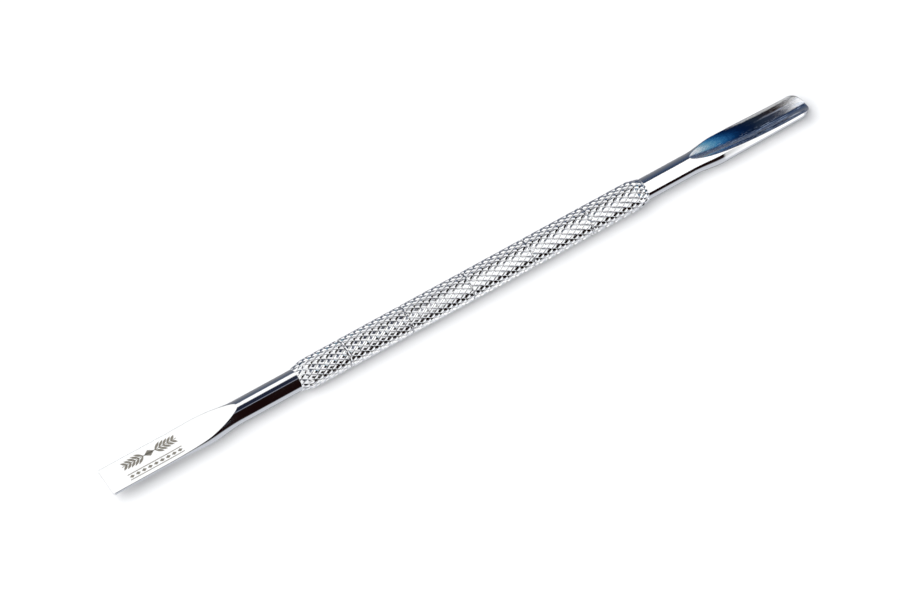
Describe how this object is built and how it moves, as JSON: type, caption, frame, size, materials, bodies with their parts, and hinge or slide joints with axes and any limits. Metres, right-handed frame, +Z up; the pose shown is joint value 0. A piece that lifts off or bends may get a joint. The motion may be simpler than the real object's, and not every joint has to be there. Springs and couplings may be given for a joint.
{
  "type": "cuticle pusher",
  "caption": "Double-ended steel cuticle pusher with a diamond-knurled round handle, a thin flat blade and a scooped spoon blade.",
  "frame": {"origin": "middle of the tool's length, on the surface that the handle lies on", "axes": "+X along the tool towards the spoon, +Z up out of the blade's flat face and the spoon's bowl"},
  "size_m": [0.134, 0.0054, 0.005],
  "materials": {
    "knurled_steel": "diamond knurl rolled into bright stainless steel",
    "blade_steel": "stainless steel, ground flat and mirror polished, with fine grinding lines",
    "spoon_steel": "mirror-polished stainless steel, with fine lengthwise grinding scratches in the bowl"
  },
  "bodies": {
    "root": {"handle_tube": "knurled_steel", "flat_blade": "blade_steel", "spoon_blade": "spoon_steel"}
  },
  "joints": []
}
